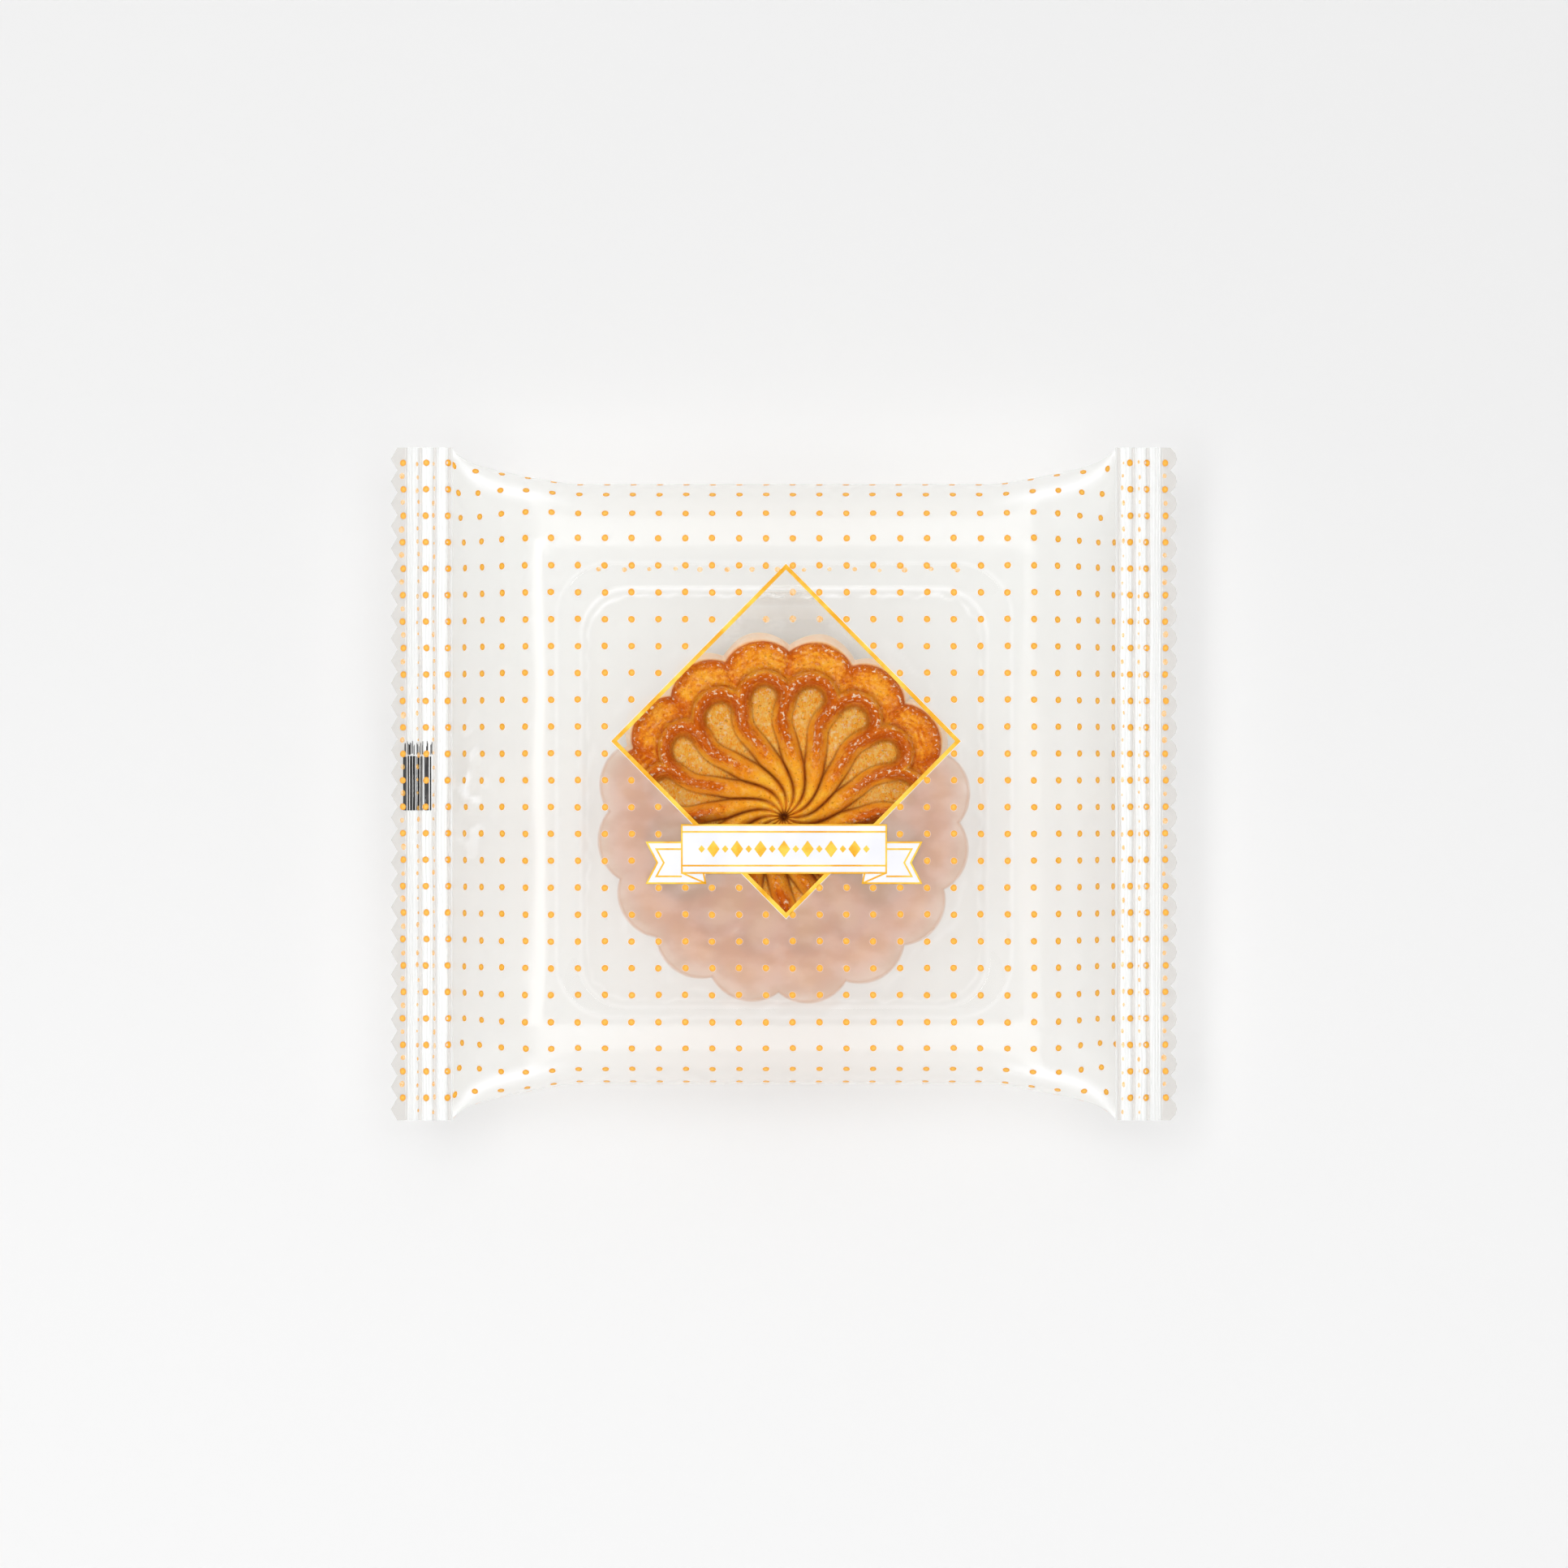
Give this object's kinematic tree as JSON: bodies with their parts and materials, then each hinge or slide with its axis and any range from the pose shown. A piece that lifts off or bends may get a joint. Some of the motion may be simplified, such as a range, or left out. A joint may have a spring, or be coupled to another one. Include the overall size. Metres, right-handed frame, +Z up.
{
  "type": "packed red bean mooncake",
  "caption": "Round scalloped baked mooncake with spiral petals, in a clear tray inside a sealed milky film pillow pack with a clear diamond window and gold dots.",
  "frame": {"origin": "under the middle of the pack, on the surface it lies on", "axes": "+X along the pack from one end seal to the other, +Y across it towards the window's upper corner, +Z up out of the printed face"},
  "size_m": [0.1594, 0.1364, 0.03],
  "materials": {
    "milky_film": "glossy, thin, translucent milky white",
    "clear_tray": "clear thermoformed plastic",
    "baked_crust": "egg-washed golden brown crust",
    "gold_print": "gold-orange ink",
    "white_print": "opaque white ink",
    "black_print": "black ink"
  },
  "bodies": {
    "root": {"film_bag": "milky_film"}
  },
  "joints": []
}
